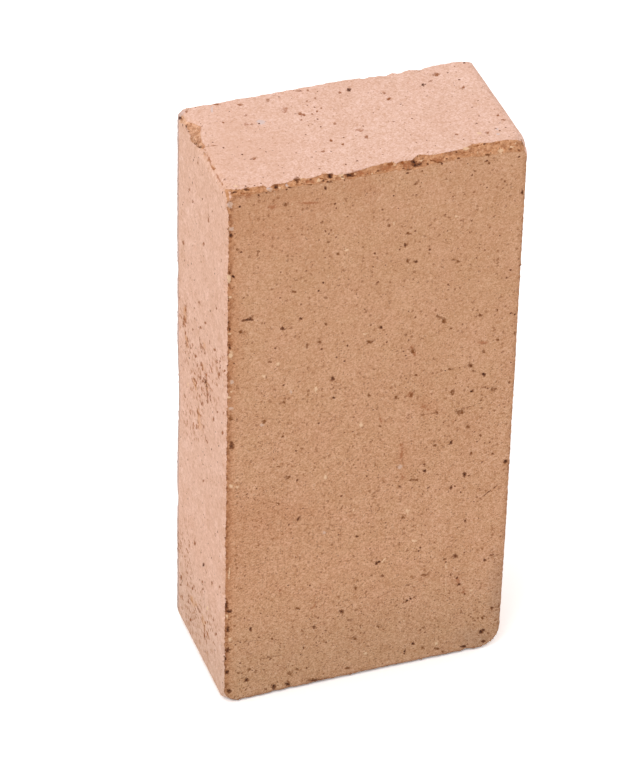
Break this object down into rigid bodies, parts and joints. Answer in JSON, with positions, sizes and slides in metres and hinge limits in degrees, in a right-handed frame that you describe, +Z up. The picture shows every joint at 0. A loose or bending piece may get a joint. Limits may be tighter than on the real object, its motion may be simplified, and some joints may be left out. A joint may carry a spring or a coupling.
{
  "type": "firebrick",
  "caption": "Solid rectangular firebrick of pale fireclay with rounded corners and worn arrises, standing on its end.",
  "frame": {"origin": "middle of the end that the brick stands on", "axes": "+Z up along the length, +X across the width, +Y through the thickness towards the back bed face"},
  "size_m": [0.12, 0.06, 0.25],
  "materials": {
    "fired_clay": "matt, grainy, speckled"
  },
  "bodies": {
    "root": {"firebrick": "fired_clay"}
  },
  "joints": []
}
